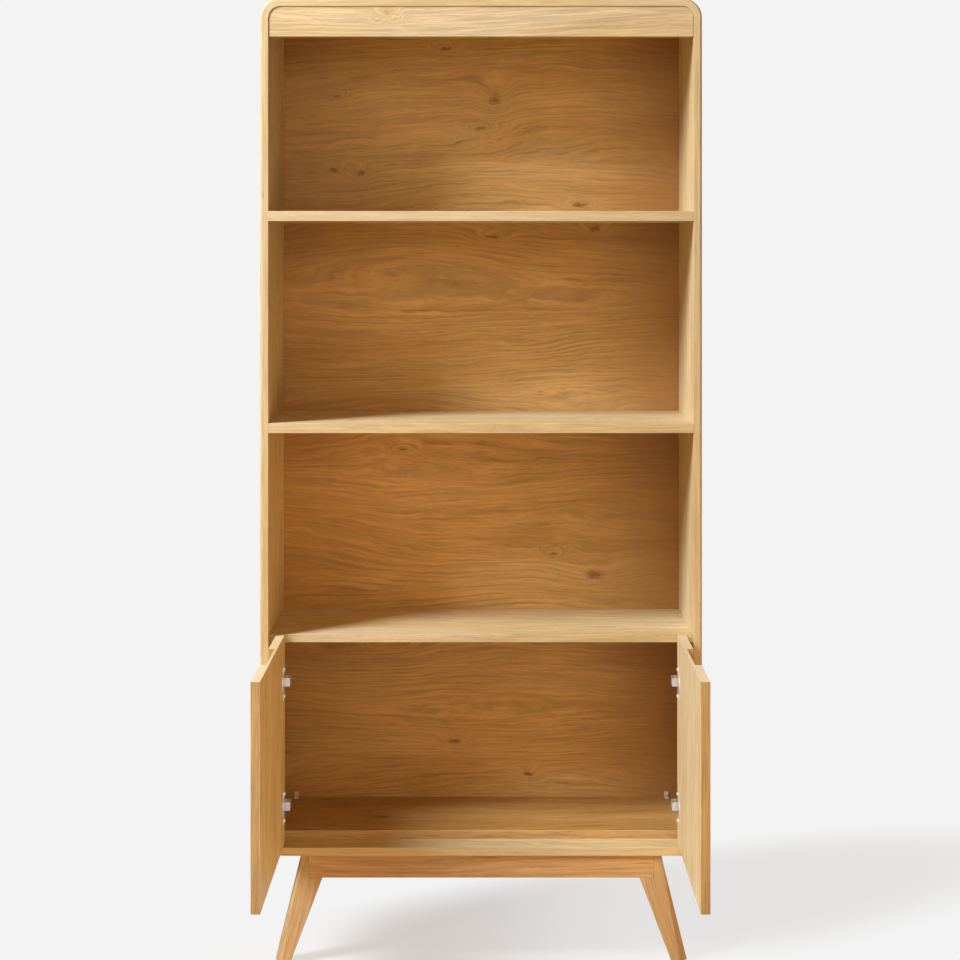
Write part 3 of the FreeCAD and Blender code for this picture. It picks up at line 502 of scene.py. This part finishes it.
FIGURE = build_oak(build_knots())
MATERIALS = {
    "face": oak_material("oak_veneer", FIGURE),
    "edge": oak_material("oak_edge_band", FIGURE, ring_strength=0.15, bend=0.05, knots=0.0,
                         contrast=0.6),
    # Painted highlight: the rounded arrises are tinted a little paler and whiter than the faces
    "arris": oak_material("oak_softened_arris_painted_highlight", FIGURE, tint=(1.05, 1.06, 1.08),
                          ring_strength=0.2, bend=0.05, knots=0.0, roughness=0.4),
    # The back panels carry painted shade towards their ends
    "back": oak_material("oak_back_veneer", FIGURE, "deep", ring_strength=0.45, bend=0.19,
                         knots=0.3, bump=0.16, spots=BACK_KNOTS, spot_depth=0.85, shade_painted_at_ends=True),
    # Painted shade: the cupboard's floor board is tinted darker, as the cupboard top shades it
    "floor_board": oak_material("oak_floor_board_painted_shade", FIGURE, "deep", tint=(0.66, 0.58, 0.48),
                                knots=0.3),
    "fascia": oak_material("oak_fascia_veneer", FIGURE, ring_strength=0.3, bend=0.10, knots=0.2,
                           spots=FASCIA_KNOTS, spot_depth=0.3),
    "door_face": oak_material("oak_door_veneer", FIGURE, tint=(1.08, 1.11, 1.13)),
    "door_edge": oak_material("oak_door_edge_band", FIGURE, "warm", tint=(0.85, 0.90, 0.88),
                              ring_strength=0.3, bend=0.05, knots=0.0),
    # Painted highlight: doors' top faces tinted paler and whiter, as light glances off them
    "door_top": oak_material("oak_door_top_painted_highlight", FIGURE, tint=(1.16, 1.19, 1.27),
                             ring_strength=0.15, bend=0.05, knots=0.0, contrast=0.6),
    "leg": oak_material("solid_oak_leg", FIGURE, "warm", tint=(0.95, 1.0, 1.04),
                        ring_width=0.006, ring_strength=0.35, bend=0.08, knots=0.1),
    "rail": oak_material("solid_oak_rail", FIGURE, "warm", ring_strength=0.35, bend=0.08,
                         knots=0.1),
    "beech": oak_material("beech_dowel_wood", FIGURE, "beech", ring_strength=0.1, knots=0.0),
    "nickel": metal_material("nickel_plate", (0.90, 0.87, 0.83), 0.45),
    "pin": metal_material("ground_steel", (0.62, 0.62, 0.62), 0.22),
    "screw": metal_material("zinc_plated_steel", (0.70, 0.70, 0.68), 0.34),
    "cam": metal_material("die_cast_zinc", (0.50, 0.50, 0.51), 0.48, CAST_GRAIN),
    "clip": plastic_material("clip_plastic", (0.88, 0.85, 0.80), 0.5),
    "glide": plastic_material("glide_plastic", (0.05, 0.045, 0.04), 0.55),
}

# Which finish each of the record's material slots takes where the node itself is shown
SLOT_FINISH = {
    "oak_case": "face", "oak_board": "face", "oak_back": "back", "oak_door": "face",
    "oak_leg": "leg", "beech_dowel": "beech", "nickel_hinge": "nickel", "steel_pin": "pin",
    "steel_screw": "screw", "cast_cam": "cam", "clip_plastic": "clip", "glide_plastic": "glide",
}

AXES = {"x": 0, "y": 1, "z": 2}

# Boards: node, direction of the grain and across it, finish of the faces, finish of the narrow
# faces, and the directions that the narrow faces look in
FRONT_AND_BACK = [(0, -1, 0), (0, 1, 0)]
BOARDS = {
    "left_side_panel": ("z", "y", "face", "edge", FRONT_AND_BACK),
    "right_side_panel": ("z", "y", "face", "edge", FRONT_AND_BACK),
    "top_panel": ("x", "y", "face", "edge", FRONT_AND_BACK),
    "top_fascia": ("x", "z", "fascia", "edge", [(0, 0, -1)]),
    "upper_shelf": ("x", "y", "face", "edge", FRONT_AND_BACK),
    "middle_shelf": ("x", "y", "face", "edge", FRONT_AND_BACK),
    "cupboard_top": ("x", "y", "face", "edge", FRONT_AND_BACK),
    "bottom_panel": ("x", "y", "face", "edge", FRONT_AND_BACK),
    "cupboard_floor_board": ("x", "y", "floor_board", "rail", FRONT_AND_BACK),
    "left_door": ("z", "y", "door_face", "door_edge", FRONT_AND_BACK),
    "right_door": ("z", "y", "door_face", "door_edge", FRONT_AND_BACK),
    "upper_back": ("x", "z", "back", "edge", []),
    "middle_back": ("x", "z", "back", "edge", []),
    "lower_back": ("x", "z", "back", "edge", []),
    "cupboard_back": ("x", "z", "back", "edge", []),
    "front_apron": ("x", "z", "rail", "rail", []),
    "rear_apron": ("x", "z", "rail", "rail", []),
    "left_base_rail": ("y", "z", "rail", "rail", []),
    "right_base_rail": ("y", "z", "rail", "rail", []),
}

# Boards whose top edges take a paler painted highlight, the legs, and the corner blocks with
# the side of the case that each is on
PAINTED_TOP_HIGHLIGHTS = {"left_door": ("door_top",), "right_door": ("door_top",)}
LEGS = ["front_left_leg", "front_right_leg", "rear_left_leg", "rear_right_leg"]
CORNERS = {"left_top_corner": -1, "right_top_corner": 1}

# Place in a piece's list of finishes, and how closely a narrow face has to look its way
FACE, NARROW, ARRIS_BAND, TOP = range(4)
FACE_MATCH = 0.9

# Each piece is cut from its own part of the figure: the furthest shift along each way, in metres
GRAIN_SHIFT = 7.0
random_shift = np.random.default_rng(31)


def is_arris(edge):
    """Whether an edge is one of the outer corners that the sanding softens."""
    if len(edge.link_faces) != 2 or not edge.is_convex:
        return False
    return edge.calc_face_angle() > ARRIS_ANGLE and edge.calc_length() > ARRIS_LENGTH


def merged_mesh(name, arris):
    """The node's surface as one closed mesh with its long outer arrises rounded over."""
    work = bmesh.new()
    work.from_mesh(NODES[name].data)
    bmesh.ops.remove_doubles(work, verts=work.verts, dist=MERGE)
    bmesh.ops.dissolve_limit(work, angle_limit=FLAT_ANGLE, verts=work.verts, edges=work.edges)
    work.normal_update()
    for face in work.faces:
        face.material_index = FACE
    edges = [edge for edge in work.edges if is_arris(edge)]
    rounded = bmesh.ops.bevel(work, geom=edges, offset=arris, offset_type="OFFSET",
                              segments=ARRIS_SEGMENTS, profile=ARRIS_PROFILE, affect="EDGES",
                              clamp_overlap=False, material=-1)
    for face in rounded["faces"]:
        face.material_index = ARRIS_BAND
    for face in work.faces:
        face.smooth = True
    soft_angle = ARRIS_ANGLE + FLAT_ANGLE
    for edge in work.edges:
        edge.smooth = len(edge.link_faces) == 2 and edge.calc_face_angle(0) < soft_angle
    return work


def finished_piece(name, work, grain, finishes, narrow=()):
    """Turn the merged surface into the piece that stands for the node, with its grain."""
    for face in work.faces:
        if face.material_index != FACE:
            continue
        if any(face.normal.dot(Vector(way)) > FACE_MATCH for way in narrow):
            face.material_index = NARROW
        # Upward faces of the doors take the painted highlight
        elif len(finishes) > TOP and face.normal.z > FACE_MATCH:
            face.material_index = TOP
    mesh = bpy.data.meshes.new(f"{name}_surface")
    work.to_mesh(mesh)
    work.free()
    places = np.empty(len(mesh.vertices) * 3)
    mesh.vertices.foreach_get("co", places)
    values = grain(places.reshape(-1, 3)) + random_shift.uniform(0, GRAIN_SHIFT, 3)
    attribute = mesh.attributes.new("grain", "FLOAT_VECTOR", "POINT")
    attribute.data.foreach_set("vector", values.astype(np.float32).ravel())
    for finish in finishes:
        mesh.materials.append(MATERIALS[finish])
    piece = bpy.data.objects.new(f"{name}_veneered", mesh)
    bpy.context.scene.collection.objects.link(piece)
    weighted = piece.modifiers.new("even_shading", "WEIGHTED_NORMAL")
    weighted.keep_sharp = True
    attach(piece, BODIES[name])
    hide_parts(name)


def straight_grain(along, across):
    """Grain coordinates of a board: its places along the grain, across it and into it."""
    order = [AXES[along], AXES[across]]
    order.append(3 - sum(order))
    return lambda places: places[:, order]


def leaning_grain(name):
    """Grain coordinates of a leg, along the line from the middle of its foot to its head."""
    corners = np.array([vertex.co for vertex in NODES[name].data.vertices])
    low, high = corners[:, 2].min(), corners[:, 2].max()
    foot = corners[corners[:, 2] < low + MERGE].mean(0)
    head = corners[corners[:, 2] > high - MERGE].mean(0)
    along = (head - foot) / np.linalg.norm(head - foot)
    across = np.cross((0, 1, 0), along)
    axes = np.stack([along, across / np.linalg.norm(across), (0, 1, 0)], axis=1)
    return lambda places: places @ axes


def curved_grain(name, sign):
    """Grain coordinates of a corner block: round the arc, along the depth and outwards.

    The first is the angle at the arc's centre times the block's radius, the second is Y and
    the third is the distance from the centre.
    """
    low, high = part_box(name)
    centre_x = low.x if sign > 0 else high.x
    radius = high.z - low.z

    def coordinates(places):
        away = np.stack([sign * (places[:, 0] - centre_x), places[:, 2] - low.z], axis=1)
        angle = np.arctan2(away[:, 1], away[:, 0])
        return np.stack([angle * radius, places[:, 1], np.hypot(*away.T)], axis=1)

    return coordinates


def dress_boards():
    """Veneer the boards, the legs and the corner blocks."""
    for name, (along, across, face, narrow_finish, narrow) in BOARDS.items():
        finishes = (face, narrow_finish, "arris") + PAINTED_TOP_HIGHLIGHTS.get(name, ())
        grain = straight_grain(along, across)
        finished_piece(name, merged_mesh(name, ARRIS), grain, finishes, narrow)
    for name in LEGS:
        work = merged_mesh(name, LEG_ARRIS)
        finished_piece(name, work, leaning_grain(name), ("leg", "leg", "leg"))
    for name, sign in CORNERS.items():
        finished_piece(name, merged_mesh(name, ARRIS), curved_grain(name, sign),
                       ("face", "edge", "arris"), FRONT_AND_BACK)


def finish_nodes():
    """Give the CAD nodes that stay in view the finish of their slot."""
    for name, node in NODES.items():
        node.data.materials.clear()
        node.data.materials.append(MATERIALS[SLOT_FINISH[SLOTS[name]]])


def floor_material():
    """Plain pale floor that shows the shadow near the object and the backdrop elsewhere.

    The share of the backdrop grows with the distance from the shadow's centre, measured after
    y is replaced by (y - SHADOW_LEAN x - SHADOW_START) SHADOW_STRETCH.
    """
    material, tree, shader = new_material("pale_studio_floor")
    seen = tree.seen()
    tree.feed(shader.inputs["Base Color"], tree.mix(seen, FLOOR_BOUNCE, FLOOR_COLOUR))
    shader.inputs["Roughness"].default_value = FLOOR_ROUGHNESS
    shader.inputs["Specular IOR Level"].default_value = 0.0
    place = tree.split(tree.object_place())
    behind = tree.math("MULTIPLY_ADD", place["X"], -SHADOW_LEAN, place["Y"])
    behind = tree.math("MULTIPLY", tree.math("SUBTRACT", behind, SHADOW_START), SHADOW_STRETCH)
    spot = tree.join(X=place["X"], Y=behind)
    distance = tree.vector("DISTANCE", spot, SHADOW_CENTRE, result="Value")
    base = tree.stretch(place["X"], *FLOOR_BLEND_SPAN, *FLOOR_BLEND)
    away = tree.stretch(distance, *SHADOW_SPAN, base)
    glow = tree.add("ShaderNodeEmission", Color=(*BACKDROP, 1.0), Strength=1.0)
    blend = tree.mix_shaders(tree.math("MULTIPLY", away, seen), shader.outputs["BSDF"],
                             glow.outputs["Emission"])
    tree.feed(material.node_tree.nodes["Material Output"].inputs["Surface"], blend)
    return material


def make_floor():
    """The level floor: a grid with z = 0, and x and y from -FLOOR_HALF to FLOOR_HALF."""
    steps = np.linspace(-FLOOR_HALF, FLOOR_HALF, FLOOR_LINES)
    across, along = np.meshgrid(steps, steps)
    places = np.stack([across.ravel(), along.ravel(), np.zeros(across.size)], axis=1)
    cells = np.arange(FLOOR_LINES - 1)
    corner = (cells[:, None] * FLOOR_LINES + cells).ravel()
    quads = np.stack([corner, corner + 1, corner + FLOOR_LINES + 1, corner + FLOOR_LINES], axis=1)
    mesh = bpy.data.meshes.new("studio_floor")
    mesh.from_pydata(places.tolist(), [], quads.tolist())
    mesh.materials.append(floor_material())
    floor = bpy.data.objects.new("studio_floor", mesh)
    bpy.context.scene.collection.objects.link(floor)


def make_world():
    """Soft light from all round, with a pale backdrop where the camera or gloss looks."""
    world = bpy.data.worlds.new("pale_studio")
    world.use_nodes = True
    bpy.context.scene.world = world
    tree = Tree(world.node_tree)
    soft = tree.add("ShaderNodeBackground", Color=(*AMBIENT_COLOUR, 1.0),
                    Strength=AMBIENT_STRENGTH)
    backdrop = tree.add("ShaderNodeBackground", Color=(*BACKDROP, 1.0), Strength=1.0)
    blend = tree.mix_shaders(tree.seen(), soft.outputs["Background"],
                             backdrop.outputs["Background"])
    tree.feed(world.node_tree.nodes["World Output"].inputs["Surface"], blend)


def make_lamp(name, place, size, watts, colour, target=LAMP_TARGET, spread=math.pi):
    """A rectangular soft lamp that looks at its target and stays out of the camera's sight."""
    lamp = bpy.data.lights.new(name, "AREA")
    lamp.shape = "RECTANGLE"
    lamp.size, lamp.size_y = size
    lamp.energy = watts
    lamp.color = colour
    lamp.spread = spread
    holder = bpy.data.objects.new(name, lamp)
    holder.visible_camera = False
    holder.location = place
    holder.rotation_euler = (target - place).to_track_quat("-Z", "Y").to_euler()
    bpy.context.scene.collection.objects.link(holder)


def make_lamps():
    make_lamp("key_lamp", KEY_PLACE, KEY_SIZE, KEY_WATTS, KEY_COLOUR)
    make_lamp("side_fill_lamp", SIDE_FILL_PLACE, FILL_SIZE, SIDE_FILL_WATTS, SIDE_FILL_COLOUR,
              SIDE_FILL_TARGET, SIDE_FILL_SPREAD)
    make_lamp("front_fill_lamp", FRONT_FILL_PLACE, FILL_SIZE, FRONT_FILL_WATTS,
              FRONT_FILL_COLOUR)


def make_camera():
    """A level camera whose shifted lens frames the case as the photograph does."""
    camera = bpy.data.cameras.new("camera")
    camera.sensor_width = SENSOR_MM
    camera.lens = FRONT_PX_PER_M * CAMERA_DISTANCE / FRAME_PX * SENSOR_MM
    camera.shift_x = (FRAME_PX / 2 - MIDDLE_PX) / FRAME_PX
    camera.shift_y = (HORIZON_PX - FRAME_PX / 2) / FRAME_PX
    holder = bpy.data.objects.new("camera", camera)
    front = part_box("left_side_panel")[0].y
    holder.location = (CAMERA_SIDE, front - CAMERA_DISTANCE, CAMERA_HEIGHT)
    holder.rotation_euler = (math.radians(90), 0, 0)
    bpy.context.scene.collection.objects.link(holder)
    bpy.context.scene.camera = holder


bpy.context.scene.view_settings.view_transform = "Standard"
make_camera()
make_world()
make_lamps()
make_floor()
finish_nodes()
dress_boards()
